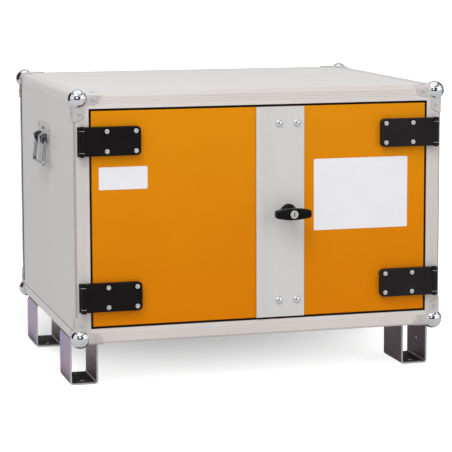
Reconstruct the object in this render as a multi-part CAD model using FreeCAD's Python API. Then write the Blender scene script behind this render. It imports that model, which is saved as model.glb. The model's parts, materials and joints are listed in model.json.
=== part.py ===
import FreeCAD, Part
import math
import os

from FreeCAD import Vector as V

# Two-door battery cabinet on four U-shaped feet.
# Millimetres. X runs to the right, Y to the back, Z up.
# The origin is on the floor, under the centre of the cabinet body.

# Cabinet body, without feet, handles and corner balls.
body_width = 800.0
body_depth = 660.0
body_height = 520.0

# Frame bars: square hollow profiles with a rounded outer edge and a rebate for the skins.
bar_size = 32.0
bar_edge_radius = 7.0
bar_wall = 2.5
bar_end_plug = 4.0
groove_from_edge = 10.0
groove_spacing = 5.5
groove_width = 0.9
groove_depth = 0.45
rebate_width = 9.0
skin_thickness = 1.5
skin_recess = 1.0

# Ball corners.
ball_radius = 21.0
ball_inset = 11.5
corner_sheet = 1.6
corner_leaf_length = 58.0
corner_leaf_width = bar_size - rebate_width
corner_leaf_slant = 10.0
corner_leaf_round = 7.0
corner_rivet_from_end = 17.0
rivet_head_radius = 4.2
rivet_head_height = 1.6

# Feet.
foot_height = 100.0
foot_width = 60.0
foot_length = 112.0
foot_from_front = 70.0
foot_sheet = 4.0
foot_bend_radius = 7.0
foot_lip = 20.0
foot_hole_radius = 5.5
foot_hole_spacing = 70.0
foot_side_hole_radius = 4.5
foot_side_hole_below_middle = 4.0
foot_bolt_radius = 4.0
foot_bolt_head_radius = 7.5
foot_bolt_head_height = 5.3
foot_bolt_grip = 18.0

# Doors.
door_thickness = 24.0
door_sheet = 1.5
door_back_lip = 12.0
door_edge_gap = 5.0
door_meeting_gap = 4.0
door_edge_radius = 1.2

# Seal round the opening: a leg in the gap and a lip behind the doors.
seal_thickness = 4.0
seal_front_recess = 3.0
seal_lip_width = 10.0
seal_lip_thickness = 4.2
seal_clearance = 0.3

# Strip over the meeting edges, fixed to the right door.
strip_left_of_centre = 13.0
strip_right_of_centre = 92.0
strip_sheet = 2.5
strip_joggle = 1.0
strip_lip_width = 18.0
strip_joggle_run = 2.0
strip_seal_width = 8.0
strip_seal_thickness = 0.7
strip_bolt_radius = 4.0
strip_bolt_head_radius = 8.5
strip_bolt_head_height = 4.8
strip_bolt_from_door_end = 35.0
strip_bolt_half_spacing = 19.6
strip_bolts_left_of_handle = 0.8
strip_nut_radius = 7.4
strip_nut_height = 6.0
strip_bolt_past_nut = 1.5

# Hinges.
hinge_height = 60.0
hinge_from_opening_edge = 36.5
hinge_axis_outside_opening = 16.5
hinge_axis_before_face = 11.5
hinge_barrel_radius = 6.6
hinge_end_knuckle = 7.0
hinge_knuckle_gap = 1.0
hinge_pin_radius = 2.5
hinge_pin_head_radius = 4.6
hinge_pin_head_height = 1.5
hinge_running_clearance = 0.06
hinge_plate_length = 107.0
hinge_plate_proud = 12.0
hinge_bend_inside_door = 8.0
hinge_plate_round = 9.0
hinge_plate_chamfer = 1.4
hinge_rivet_near = 35.5
hinge_rivet_far = 96.3
hinge_rivet_spacing = 41.0
hinge_rivet_radius = 3.2
hinge_rivet_head_radius = 5.8
hinge_rivet_head_height = 2.6
hinge_rivet_grip = 4.0
hinge_frame_clearance = 0.5
hinge_base_width = 1.2
hinge_crease_gap = 1.4
hinge_crease_depth = 4.4
hinge_neck_half_width = 4.6
hinge_base_lap = 0.2
hinge_base_thickness = 2.3
hinge_stud_length = 12.0

# Turning handle, rack drive and lock rods.
handle_right_of_centre = 57.0
rosette_radius = 17.5
rosette_height = 8.0
rosette_rim_height = 2.4
rosette_shoulder_width = 2.0
handle_neck_radius = 10.0
handle_proud = 46.0
handle_wing_thickness = 18.0
handle_wing_length = 77.0
handle_wing_middle_height = 24.0
handle_wing_end_height = 15.0
handle_wing_end_bulge = 1.2
handle_wing_end_round = 2.6
handle_wing_chamfer = 2.0
handle_neck_in_wing = 4.0
handle_neck_gap = 0.5
handle_running_clearance = 0.1
plug_radius = 8.6
plug_depth = 13.0
plug_proud = 1.0
plug_slot_width = 2.2
plug_slot_length = 9.5
plug_slot_depth = 6.0
plug_chamfer = 0.5
plug_running_clearance = 0.06
spindle_size = 8.0
spindle_hole_clearance = 2.0
gear_module = 1.0
gear_teeth = 18
gear_backlash = 0.16
gear_mesh_clearance = 0.1
rod_jog_clearance = 4.0
rod_width = 8.0
rod_thickness = 6.0
rod_stroke = gear_module * gear_teeth / 2.0 * math.pi / 2.0
rod_tip_below_edge = 1.0
rod_tip_chamfer = 2.0
rod_clearance = 0.7
rod_guide_height = 18.0
rod_guide_from_door_end = 73.0
rod_guide_sheet = 1.5
rod_guide_foot = 11.0
case_sheet = 1.5
case_side_clearance = 1.2
case_depth_clearance = 0.5
case_end_clearance = 2.0
case_rivet_inset = 4.5
lock_rivet_radius = 3.0
lock_rivet_height = 1.4
keep_wall = 1.5
keep_flange = 3.0
keep_flange_thickness = 1.0
keep_depth = 5.0

# Lifting handles on the sides.
lift_plate_width = 162.0
lift_plate_height = 104.0
lift_plate_sheet = 2.0
lift_plate_round = 24.0
lift_plate_top_below_body_top = 82.0
lift_pivot_below_plate_top = 38.0
lift_pivot_from_plate = 6.5
lift_lug_radius = 11.5
lift_lug_inner = 24.0
lift_lug_width = 20.0
lift_lug_chamfer = 1.5
lift_rivet_inset = 15.0
lift_knob_radius = 3.6
lift_knob_height = 4.5
lift_knob_above_pivot = 21.0
lift_knob_chamfer = 1.2
lift_bar_radius = 4.0
lift_bar_width = 116.0
lift_bar_drop = 55.0
lift_bar_bend = 8.0
lift_bar_rest_tilt = 7.0
lift_bar_clearance = 0.1

# Shelf.
shelf_sheet = 1.5
shelf_top_height = 214.0
shelf_front_setback = 45.0
shelf_back_gap = 8.0
shelf_side_gap = 1.0
shelf_flange = 18.0
shelf_rail_leg = 20.0
shelf_rail_sheet = 2.0
shelf_rail_clearance = 2.0
shelf_slot_length = 70.0
shelf_slot_width = 9.0
shelf_slot_columns = 6
shelf_slot_rows = 5

# Places worked out from the sizes above.
left = -body_width / 2.0
front = -body_depth / 2.0
back = body_depth / 2.0
bottom = foot_height
top = foot_height + body_height
middle_height = (bottom + top) / 2.0
opening_half_width = body_width / 2.0 - bar_size
opening_bottom = bottom + bar_size
opening_top = top - bar_size
rebate_depth = skin_recess + skin_thickness
cavity_start = rebate_depth + bar_wall
core_thickness = bar_size - rebate_depth
door_outer_x = opening_half_width - door_edge_gap
door_inner_x = door_meeting_gap / 2.0
door_bottom = opening_bottom + door_edge_gap
door_top = opening_top - door_edge_gap
door_back = front + door_thickness
core_door_back = door_back - door_sheet
hinge_x = opening_half_width + hinge_axis_outside_opening
hinge_y = front - hinge_axis_before_face
strip_front = front - strip_sheet
pitch_radius = gear_module * gear_teeth / 2.0
rack_root = pitch_radius + gear_mesh_clearance + 1.25 * gear_module
rack_back = rack_root + rod_width
rod_back = core_door_back + 1.0
rod_front = rod_back - rod_thickness
rack_end_margin = 7.0
rack_end = rod_stroke + rack_end_margin
jog_start = pitch_radius + gear_module + rod_jog_clearance
jog_end = jog_start + rod_width
case_half_width = rack_back + case_side_clearance + case_sheet
rod_guide_offset = (door_top - door_bottom) / 2.0 - rod_guide_from_door_end
case_half_height = max(jog_end + rod_stroke, rack_end) + case_end_clearance + case_sheet
case_front = rod_front - case_depth_clearance - case_sheet
case_back = rod_back + case_depth_clearance + case_sheet


def box(x0, x1, y0, y1, z0, z1):
    return Part.makeBox(x1 - x0, y1 - y0, z1 - z0, V(x0, y0, z0))


def cylinder(radius, start, end):
    axis = end - start
    return Part.makeCylinder(radius, axis.Length, start, axis)


def prism(points, direction):
    wire = Part.makePolygon(points + [points[0]])
    return Part.Face(wire).extrude(direction)


def mirrored_x(shape):
    return shape.mirror(V(0, 0, 0), V(1, 0, 0))


def mirrored_y(shape):
    return shape.mirror(V(0, 0, 0), V(0, 1, 0))


def mirrored_z(shape):
    return shape.mirror(V(0, 0, middle_height), V(0, 0, 1))


def four_ways(shape):
    pair = [shape, mirrored_x(shape)]
    return pair + [mirrored_y(s) for s in pair]


def cut_all(shape, tools):
    for tool in tools:
        shape = shape.cut(tool)
    return shape


def edges_where(shape, test):
    return [edge for edge in shape.Edges if test(edge)]


def runs_along(edge, axis):
    if not isinstance(edge.Curve, Part.Line):
        return False
    step = edge.Vertexes[-1].Point - edge.Vertexes[0].Point
    return abs(abs(step.dot(axis)) - step.Length) < 1e-6


def save(name, *shapes):
    solids = [solid for shape in shapes for solid in shape.Solids]
    part = solids[0] if len(solids) == 1 else Part.makeCompound(solids)
    part.exportStep("parts/" + name + ".step")


# Frame bars

def body_envelope():
    block = box(left, -left, front, back, bottom, top)
    return block.makeFillet(bar_edge_radius, block.Edges)


def grooved_face(rebated):
    # Shallow drawn grooves: distances along an outer face and depths below it.
    steps = []
    for index in range(2 if rebated else 3):
        start = groove_from_edge + index * groove_spacing
        end = start + groove_width
        steps += [(start, 0), (start, groove_depth), (end, groove_depth), (end, 0)]
    return steps


def bar_section(corner, u, v, rebate_u, rebate_v):
    # The section's outer corner is at corner; u and v point inwards along its two outer faces.
    def at(a, b):
        return corner + u * a + v * b

    size = bar_size
    radius = bar_edge_radius
    round_middle = radius * (1.0 - math.sqrt(0.5))
    grooves = grooved_face(rebate_u)
    points = [at(radius, 0)] + [at(a, b) for a, b in grooves]
    if rebate_u:
        points += [at(size - rebate_width, 0), at(size - rebate_width, rebate_depth), at(size, rebate_depth)]
    else:
        points += [at(size, 0)]
    points += [at(size, size)]
    if rebate_v:
        points += [at(rebate_depth, size), at(rebate_depth, size - rebate_width), at(0, size - rebate_width)]
    else:
        points += [at(0, size)]
    points += [at(b, a) for a, b in reversed(grooved_face(rebate_v))] + [at(0, radius)]
    edges = [Part.makeLine(a, b) for a, b in zip(points, points[1:])]
    edges.append(Part.Arc(at(0, radius), at(round_middle, round_middle), at(radius, 0)).toShape())
    return Part.Face(Part.Wire(edges))


def bar(corner, u, v, along, length, rebate_u, rebate_v):
    body = bar_section(corner, u, v, rebate_u, rebate_v).extrude(along * length)
    near = corner + (u + v) * cavity_start + along * bar_end_plug
    span = bar_size - bar_wall - cavity_start
    ring = [near, near + u * span, near + (u + v) * span, near + v * span]
    return body.cut(prism(ring, along * (length - 2.0 * bar_end_plug)))


def post(at_back):
    inward = V(0, -1, 0) if at_back else V(0, 1, 0)
    corner = V(left, back if at_back else front, bottom)
    shape = bar(corner, V(1, 0, 0), inward, V(0, 0, 1), body_height, at_back, True)
    return shape.common(body_envelope())


def cross_rail(at_back, at_top):
    corner = V(-opening_half_width, back if at_back else front, top if at_top else bottom)
    inward = V(0, -1, 0) if at_back else V(0, 1, 0)
    vertical = V(0, 0, -1) if at_top else V(0, 0, 1)
    return bar(corner, inward, vertical, V(1, 0, 0), 2.0 * opening_half_width, True, at_back)


def side_rail(at_top):
    corner = V(left, front + bar_size, top if at_top else bottom)
    vertical = V(0, 0, -1) if at_top else V(0, 0, 1)
    return bar(corner, V(1, 0, 0), vertical, V(0, 1, 0), body_depth - 2.0 * bar_size, True, True)


# Ball corners

def corner_leaf(along, u, v, corner):
    # A sheet wrapped round one frame edge, running along it from where the corner's rounding ends.
    outer = -corner_sheet
    radius = bar_edge_radius
    width = corner_leaf_width
    length = corner_leaf_length

    def at(a, b):
        return corner + along * radius + u * a + v * b

    inner_middle = radius * (1.0 - math.sqrt(0.5))
    outer_middle = radius - (radius + corner_sheet) * math.sqrt(0.5)
    edges = [
        Part.makeLine(at(outer, width), at(outer, radius)),
        Part.Arc(at(outer, radius), at(outer_middle, outer_middle), at(radius, outer)).toShape(),
        Part.makeLine(at(radius, outer), at(width, outer)),
        Part.makeLine(at(width, outer), at(width, 0)),
        Part.makeLine(at(width, 0), at(radius, 0)),
        Part.Arc(at(radius, 0), at(inner_middle, inner_middle), at(0, radius)).toShape(),
        Part.makeLine(at(0, radius), at(0, width)),
        Part.makeLine(at(0, width), at(outer, width)),
    ]
    leaf = Part.Face(Part.Wire(edges)).extrude(along * (length - radius))
    # Each end slants back from the folded edge to the leaf's free sides.
    slope = corner_leaf_slant / (width - radius)
    past = width + 1.0
    outline = [(radius, length), (past, length - (past - radius) * slope)]
    outline += [(past, length + 1), (radius, length + 1)]
    for across, depth in ((u, v), (v, u)):
        outside = corner - depth * (corner_sheet + 1)
        points = [outside + across * reach + along * height for reach, height in outline]
        leaf = leaf.cut(prism(points, depth * (corner_sheet + 1.5)))

    def at_free_corner(edge):
        centre = edge.CenterOfMass - corner
        at_end = abs(centre.dot(along) - (length - corner_leaf_slant)) < 1e-6
        at_side = abs(max(centre.dot(u), centre.dot(v)) - width) < 1e-6
        return at_end and at_side and abs(edge.Length - corner_sheet) < 1e-6

    return leaf.makeFillet(corner_leaf_round, edges_where(leaf, at_free_corner))


def ball_corner():
    corner = V(left, front, bottom)
    axes = [V(1, 0, 0), V(0, 1, 0), V(0, 0, 1)]
    centre = corner + V(ball_inset, ball_inset, ball_inset)
    shape = Part.makeSphere(ball_radius, centre)
    for i in range(3):
        shape = shape.fuse(corner_leaf(axes[i], axes[(i + 1) % 3], axes[(i + 2) % 3], corner))
    shape = shape.cut(body_envelope())
    return shape.removeSplitter()


def corner_rivets():
    corner = V(left, front, bottom)
    axes = [V(1, 0, 0), V(0, 1, 0), V(0, 0, 1)]
    reach = corner_leaf_length - corner_rivet_from_end
    across = corner_leaf_width / 2.0 + 1.0
    rivets = []
    for i in range(3):
        for u, v in ((axes[(i + 1) % 3], axes[(i + 2) % 3]), (axes[(i + 2) % 3], axes[(i + 1) % 3])):
            seat = corner + axes[i] * reach + u * across - v * corner_sheet
            rivets.append(rivet_head(seat, v * -1.0, rivet_head_radius, rivet_head_height))
    return rivets


def rivet_head(seat, outward, radius, height):
    return Part.makeCylinder(radius, height, seat, outward)


def all_corners(shape):
    low = four_ways(shape)
    return low + [mirrored_z(s) for s in low]


# Skins and insulating cores

def skin_side():
    reach = bar_size - rebate_width
    outer = left + skin_recess
    return box(outer, outer + skin_thickness, front + reach, back - reach, bottom + reach, top - reach)


def skin_cap(at_top):
    # The corners are notched round the posts.
    reach = bar_size - rebate_width
    low = top - rebate_depth if at_top else bottom + skin_recess
    high = low + skin_thickness
    shape = box(left + reach, -left - reach, front + reach, back - reach, low, high)
    notch = box(left + reach, left + bar_size, front + reach, front + bar_size, low, high)
    return cut_all(shape, four_ways(notch))


def skin_back():
    reach = bar_size - rebate_width
    outer = back - skin_recess
    return box(left + reach, -left - reach, outer - skin_thickness, outer, bottom + reach, top - reach)


def core_side():
    outer = left + rebate_depth
    inner_y = front + bar_size
    return box(outer, outer + core_thickness, inner_y, -inner_y, opening_bottom, opening_top)


def core_cap(at_top):
    low = opening_top if at_top else bottom + rebate_depth
    inner_y = front + bar_size
    half = opening_half_width
    return box(-half, half, inner_y, -inner_y, low, low + core_thickness)


def core_back():
    half = opening_half_width
    inner = back - bar_size
    return box(-half, half, inner, inner + core_thickness, opening_bottom, opening_top)


# Feet

def foot_centre():
    return V(left + foot_width / 2.0, front + foot_from_front + foot_length / 2.0, 0)


def foot():
    x0 = left
    x1 = x0 + foot_width
    y0 = front + foot_from_front
    y1 = y0 + foot_length
    t = foot_sheet
    along = V(0, 1, 0)
    outer = box(x0, x1, y0, y1, 0, foot_height)
    outer = outer.makeFillet(foot_bend_radius, edges_where(outer, lambda e: runs_along(e, along)))
    inner = box(x0 + t, x1 - t, y0 - 1, y1 + 1, t, foot_height - t)
    inner = inner.makeFillet(foot_bend_radius - t, edges_where(inner, lambda e: runs_along(e, along)))
    slot = box(x0 + foot_lip, x1 - foot_lip, y0 - 1, y1 + 1, foot_height - 2 * t, foot_height + 1)
    shape = outer.cut(inner).cut(slot)
    centre = foot_centre()
    for side in (-1, 1):
        at = centre + V(0, side * foot_hole_spacing / 2.0, -1)
        shape = shape.cut(cylinder(foot_hole_radius, at, at + V(0, 0, t + 2)))
    for bolt_x in foot_bolt_places():
        at = V(bolt_x, centre.y, foot_height - 2 * t)
        shape = shape.cut(cylinder(foot_bolt_radius + 0.3, at, at + V(0, 0, 3 * t)))
    return shape


def foot_side_hole(y):
    # One hole in each foot, in the wall on its right.
    right_walls = [(left + foot_width - foot_sheet, y), (-left - foot_sheet, y)]
    holes = []
    for x, along in right_walls:
        at = V(x - 1, along, foot_height / 2.0 - foot_side_hole_below_middle)
        holes.append(cylinder(foot_side_hole_radius, at, at + V(foot_sheet + 2, 0, 0)))
    return holes


def foot_bolt_places():
    inset = (foot_sheet + foot_lip) / 2.0 + 1.5
    return (left + inset, left + foot_width - inset)


def foot_bolts():
    bolts = []
    seat_z = foot_height - foot_sheet
    for bolt_x in foot_bolt_places():
        seat = V(bolt_x, foot_centre().y, seat_z)
        head = hexagon(foot_bolt_head_radius, seat, V(0, 0, -foot_bolt_head_height), V(0, 1, 0))
        shank = cylinder(foot_bolt_radius, seat, seat + V(0, 0, foot_bolt_grip))
        bolts.append(head.fuse(shank).removeSplitter())
    return bolts


def foot_bolt_holes():
    low = bottom - 1.0
    high = foot_height - foot_sheet + foot_bolt_grip + 0.5
    holes = []
    for bolt_x in foot_bolt_places():
        for side in (-1, 1):
            at = V(bolt_x, side * foot_centre().y, low)
            holes.append(cylinder(foot_bolt_radius + 0.1, at, V(at.x, at.y, high)))
    return holes


def hexagon(corner_radius, centre, extrusion, first):
    turn = FreeCAD.Rotation(extrusion, 60)
    arm = first.normalize() * corner_radius
    points = []
    for _ in range(6):
        points.append(centre + arm)
        arm = turn.multVec(arm)
    return prism(points, extrusion)


# Doors

def door_tray():
    y0, y1 = front, door_back
    x0, x1 = door_inner_x, door_outer_x
    t = door_sheet
    shell = box(x0, x1, y0, y1, door_bottom, door_top)

    def on_front(edge):
        return abs(edge.CenterOfMass.y - y0) < 1e-6

    shell = shell.makeFillet(door_edge_radius, edges_where(shell, on_front))
    hollow = box(x0 + t, x1 - t, y0 + t, y1 - t, door_bottom + t, door_top - t)
    lip = door_back_lip
    window = box(x0 + lip, x1 - lip, y1 - 2 * t, y1 + 1, door_bottom + lip, door_top - lip)
    return cut_all(shell, [hollow, window] + hinge_rivet_holes())


def door_core():
    t = door_sheet
    y0, y1 = front + t, door_back - t
    shape = box(door_inner_x + t, door_outer_x - t, y0, y1, door_bottom + t, door_top - t)
    return cut_all(shape, hinge_rivet_holes())


def spindle_centre(y):
    return V(handle_right_of_centre, y, middle_height)


def strip_bolt_places():
    places = []
    for column in (-1, 1):
        x = handle_right_of_centre - strip_bolts_left_of_handle + column * strip_bolt_half_spacing
        for z in (door_bottom + strip_bolt_from_door_end, door_top - strip_bolt_from_door_end):
            places.append(V(x, 0, z))
    return places


def strip_bolt_holes():
    holes = []
    for place in strip_bolt_places():
        start = V(place.x, strip_front - strip_joggle - 1, place.z)
        end = V(place.x, door_back + 1, place.z)
        holes.append(cylinder(strip_bolt_radius + 0.1, start, end))
    return holes


def rod_channel():
    # The groove for both lock rods, open to the back and through the door's top and bottom edges.
    half = rod_width / 2.0 + rod_clearance
    x = handle_right_of_centre
    return box(x - half, x + half, rod_front - rod_clearance, door_back + 1, door_bottom - 1, door_top + 1)


def case_pocket():
    x = handle_right_of_centre
    z = middle_height
    w, h = case_half_width, case_half_height
    return box(x - w, x + w, case_front, door_back + 1, z - h, z + h)


def spindle_hole():
    start = spindle_centre(strip_front - strip_sheet)
    end = spindle_centre(case_front + case_sheet)
    return cylinder(handle_neck_radius + spindle_hole_clearance, start, end)


def right_door_tray():
    return cut_all(door_tray(), [rod_channel(), spindle_hole()] + strip_bolt_holes())


def right_door_core():
    return cut_all(door_core(), [rod_channel(), case_pocket(), spindle_hole()] + strip_bolt_holes())


def opening_seal():
    half = opening_half_width
    y0 = front + seal_front_recess
    lip_front = door_back + seal_clearance
    y1 = lip_front + seal_lip_thickness
    t, w = seal_thickness, seal_lip_width
    outer = box(-half, half, y0, y1, opening_bottom, opening_top)
    bore = box(-half + t, half - t, y0 - 1, lip_front, opening_bottom + t, opening_top - t)
    window = box(-half + w, half - w, lip_front - 1, y1 + 1, opening_bottom + w, opening_top - w)
    shape = outer.cut(bore).cut(window)
    x = handle_right_of_centre
    half_cut = keep_outer_half(rod_width) + keep_flange + 0.5
    cut = box(x - half_cut, x + half_cut, keep_y() - keep_outer_half(rod_thickness) - keep_flange - 0.5,
              y1 + 1, opening_bottom - 1, opening_top + 1)
    return shape.cut(cut)


# Meeting strip

def meeting_strip():
    x0 = -strip_left_of_centre
    x1 = strip_right_of_centre
    bend = x0 + strip_lip_width
    run = bend + strip_joggle_run
    step = strip_joggle
    points = [
        V(x0, front - step, door_bottom),
        V(bend, front - step, door_bottom),
        V(run, front, door_bottom),
        V(x1, front, door_bottom),
        V(x1, strip_front, door_bottom),
        V(run, strip_front, door_bottom),
        V(bend, strip_front - step, door_bottom),
        V(x0, strip_front - step, door_bottom),
    ]
    return cut_all(prism(points, V(0, 0, door_top - door_bottom)), [spindle_hole()] + strip_bolt_holes())


def strip_seal():
    x0 = -strip_left_of_centre + 1.0
    y0 = front - strip_joggle
    return box(x0, x0 + strip_seal_width, y0, y0 + strip_seal_thickness, door_bottom, door_top)


def strip_bolts():
    solids = []
    for place in strip_bolt_places():
        seat = V(place.x, strip_front, place.z)
        nut_seat = V(place.x, core_door_back, place.z)
        dome = dome_head(seat, strip_bolt_head_radius, strip_bolt_head_height)
        end = nut_seat + V(0, strip_nut_height + strip_bolt_past_nut, 0)
        solids.append(dome.fuse(cylinder(strip_bolt_radius, seat, end)).removeSplitter())
        nut = hexagon(strip_nut_radius, nut_seat, V(0, strip_nut_height, 0), V(0, 0, 1))
        bore = cylinder(strip_bolt_radius + 0.05, nut_seat - V(0, 1, 0), end + V(0, 2, 0))
        solids.append(nut.cut(bore))
    return solids


def dome_head(seat, radius, height):
    # A cap cut from a sphere, seated at seat and rising towards the front.
    ball = (radius * radius + height * height) / (2.0 * height)
    sphere = Part.makeSphere(ball, seat + V(0, ball - height, 0))
    reach = radius + 1.0
    keep = box(seat.x - reach, seat.x + reach, seat.y - height - 1, seat.y, seat.z - reach, seat.z + reach)
    return sphere.common(keep)


# Hinges, drawn for the left door's lower hinge and mirrored for the others

def hinge_origin():
    return V(-hinge_x, hinge_y, opening_bottom + hinge_from_opening_edge)


def hinge_rivet_places():
    origin = hinge_origin()
    places = []
    for reach in (hinge_rivet_near, hinge_rivet_far):
        for side in (-1, 1):
            height = hinge_height / 2.0 + side * hinge_rivet_spacing / 2.0
            places.append(V(origin.x + hinge_axis_outside_opening + reach, 0, origin.z + height))
    return places


def hinge_rivet_holes():
    # The holes in the right door for both of its hinges.
    holes = []
    for place in hinge_rivet_places():
        for z in (place.z, 2.0 * middle_height - place.z):
            start = V(-place.x, front - 1, z)
            end = start + V(0, 1 + door_sheet + hinge_rivet_grip, 0)
            holes.append(cylinder(hinge_rivet_radius + 0.1, start, end))
    return holes


def hinge_door_leaf():
    r = hinge_barrel_radius
    o = hinge_origin()
    plate_end = hinge_axis_outside_opening + hinge_plate_length
    plate_front = hinge_axis_before_face - hinge_plate_proud
    bend = hinge_axis_outside_opening + door_edge_gap + hinge_bend_inside_door
    under = hinge_axis_before_face - hinge_frame_clearance
    seat = hinge_axis_before_face
    door_edge = hinge_axis_outside_opening + door_edge_gap
    full_start = r + hinge_crease_gap
    start_front = hinge_crease_depth - r

    def at(dx, dy, dz=0.0):
        return V(o.x + dx, o.y + dy, o.z + dz)

    outline = [
        at(full_start, start_front), at(bend, plate_front), at(plate_end, plate_front),
        at(plate_end, seat), at(door_edge + 1.0, seat), at(door_edge, under), at(full_start, under),
    ]
    plate = prism(outline, V(0, 0, hinge_height))

    def at_far_end(edge):
        at_end = abs(edge.CenterOfMass.x - (o.x + plate_end)) < 1e-6
        return at_end and runs_along(edge, V(0, 1, 0))

    plate = plate.makeFillet(hinge_plate_round, edges_where(plate, at_far_end))

    def round_front(edge):
        c = edge.CenterOfMass
        in_plane = abs(c.y - (o.y + plate_front)) < 1e-6
        return in_plane and c.x > o.x + bend + 1e-3

    plate = plate.makeChamfer(hinge_plate_chamfer, edges_where(plate, round_front))
    low = hinge_end_knuckle + hinge_knuckle_gap
    high = hinge_height - low
    web = prism([at(0, start_front, low), at(full_start, start_front, low), at(full_start, under, low),
                 at(0, under, low)], V(0, 0, high - low))
    barrel = cylinder(r, at(0, 0, low), at(0, 0, high))
    shape = plate.fuse(web).fuse(barrel).removeSplitter()
    bore = cylinder(hinge_pin_radius + hinge_running_clearance, at(0, 0, -1), at(0, 0, hinge_height + 1))
    shape = shape.cut(bore)
    for place in hinge_rivet_places():
        start = V(place.x, front - hinge_plate_proud - 1, place.z)
        shape = shape.cut(cylinder(hinge_rivet_radius + 0.1, start, V(place.x, front + 1, place.z)))
    return shape


def hinge_rivets():
    rivets = []
    for place in hinge_rivet_places():
        seat = V(place.x, front - hinge_plate_proud, place.z)
        head = rivet_head(seat, V(0, -1, 0), hinge_rivet_head_radius, hinge_rivet_head_height)
        end = V(place.x, front + door_sheet + hinge_rivet_grip - 0.5, place.z)
        rivets.append(head.fuse(cylinder(hinge_rivet_radius, seat, end)).removeSplitter())
    return rivets


def hinge_frame_leaf():
    r = hinge_barrel_radius
    o = hinge_origin()
    seat = hinge_axis_before_face
    outer = r + hinge_base_width

    def block(x0, x1, y0, y1, z0, z1):
        return box(o.x + x0, o.x + x1, o.y + y0, o.y + y1, o.z + z0, o.z + z1)

    neck = hinge_neck_half_width
    shape = block(-outer, hinge_base_lap - neck, seat - hinge_base_thickness, seat, 0, hinge_height)
    bore_radius = hinge_pin_radius + 0.02
    for low in (0.0, hinge_height - hinge_end_knuckle):
        high = low + hinge_end_knuckle
        shape = shape.fuse(block(-neck, neck, 0, seat, low, high))
        shape = shape.fuse(cylinder(r, o + V(0, 0, low), o + V(0, 0, high)))
        stud = o + V(0, seat, (low + high) / 2.0)
        shape = shape.fuse(cylinder(hinge_pin_radius, stud, stud + V(0, hinge_stud_length, 0)))
    shape = shape.removeSplitter()
    return shape.cut(cylinder(bore_radius, o - V(0, 0, 1), o + V(0, 0, hinge_height + 1)))


def hinge_stud_holes():
    o = hinge_origin()
    holes = []
    for height in (hinge_end_knuckle / 2.0, hinge_height - hinge_end_knuckle / 2.0):
        start = o + V(0, hinge_axis_before_face - 1, height)
        hole = cylinder(hinge_pin_radius + 0.1, start, start + V(0, hinge_stud_length + 2, 0))
        holes += [hole, mirrored_z(hole)]
    return holes


def hinge_pin():
    o = hinge_origin()
    length = hinge_height
    head = hinge_pin_head_height
    shape = cylinder(hinge_pin_radius, o - V(0, 0, head), o + V(0, 0, length + head))
    shape = shape.fuse(rivet_head(o, V(0, 0, -1), hinge_pin_head_radius, head))
    shape = shape.fuse(rivet_head(o + V(0, 0, length), V(0, 0, 1), hinge_pin_head_radius, head))
    return shape.removeSplitter()


# Turning handle and lock

def rosette():
    # A ring with a sloping face on the meeting strip, carrying the handle's neck.
    base = V(handle_right_of_centre, strip_front, middle_height)
    ring_bore = handle_neck_radius + handle_running_clearance
    profile = [
        (ring_bore, 0), (rosette_radius, 0), (rosette_radius, rosette_rim_height),
        (ring_bore + rosette_shoulder_width, rosette_height), (ring_bore, rosette_height),
    ]
    points = [V(base.x + radius, base.y - height, base.z) for radius, height in profile]
    face = Part.Face(Part.makePolygon(points + [points[0]]))
    return face.revolve(base, V(0, 1, 0), 360)


def wing_outline(y):
    c = spindle_centre(y)
    half = handle_wing_length / 2.0
    end = handle_wing_end_height / 2.0
    mid = handle_wing_middle_height / 2.0
    start = half - handle_wing_end_bulge

    def at(x, z):
        return c + V(x, 0, z)

    edges = [
        Part.Arc(at(-start, end), at(0, mid), at(start, end)).toShape(),
        Part.Arc(at(start, end), at(half, 0), at(start, -end)).toShape(),
        Part.Arc(at(start, -end), at(0, -mid), at(-start, -end)).toShape(),
        Part.Arc(at(-start, -end), at(-half, 0), at(-start, end)).toShape(),
    ]
    return Part.Face(Part.Wire(edges))


def turning_handle():
    face_y = front - handle_proud
    wing = wing_outline(face_y).extrude(V(0, handle_wing_thickness, 0))
    through = V(0, 1, 0)
    wing = wing.makeFillet(handle_wing_end_round, edges_where(wing, lambda e: runs_along(e, through)))

    def on_rim(edge):
        y = edge.CenterOfMass.y
        return abs(y - face_y) < 1e-6 or abs(y - face_y - handle_wing_thickness) < 1e-6

    wing = wing.makeChamfer(handle_wing_chamfer, edges_where(wing, on_rim))
    neck_end = spindle_centre(face_y + handle_neck_in_wing)
    neck = cylinder(handle_neck_radius, spindle_centre(strip_front - handle_neck_gap), neck_end)
    shape = wing.fuse(neck).removeSplitter()
    shape = shape.cut(cylinder(plug_radius, spindle_centre(face_y - 1), spindle_centre(face_y + plug_depth)))
    half = spindle_size / 2.0 + 0.05
    c = spindle_centre(0)
    socket = box(c.x - half, c.x + half, spindle_front() - 0.2, strip_front + 1, c.z - half, c.z + half)
    return shape.cut(socket)


def spindle_front():
    return front - handle_proud + plug_depth + 3.0


def spindle():
    half = spindle_size / 2.0
    c = spindle_centre(0)
    return box(c.x - half, c.x + half, spindle_front(), case_back + 1, c.z - half, c.z + half)


def lock_plug():
    face_y = front - handle_proud - plug_proud
    radius = plug_radius - plug_running_clearance
    end = front - handle_proud + plug_depth - 0.3
    shape = cylinder(radius, spindle_centre(face_y), spindle_centre(end))
    c = spindle_centre(0)
    slot = box(c.x - plug_slot_width / 2.0, c.x + plug_slot_width / 2.0, face_y - 1, face_y + plug_slot_depth,
               c.z - plug_slot_length / 2.0, c.z + plug_slot_length / 2.0)

    def on_face(edge):
        return abs(edge.CenterOfMass.y - face_y) < 1e-6

    return shape.makeChamfer(plug_chamfer, edges_where(shape, on_face)).cut(slot)


def involute(base, radius):
    # The angle of an involute from a base circle, at a given radius.
    grip = math.sqrt(max(0.0, (radius / base) ** 2 - 1.0))
    return grip - math.atan(grip)


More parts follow.
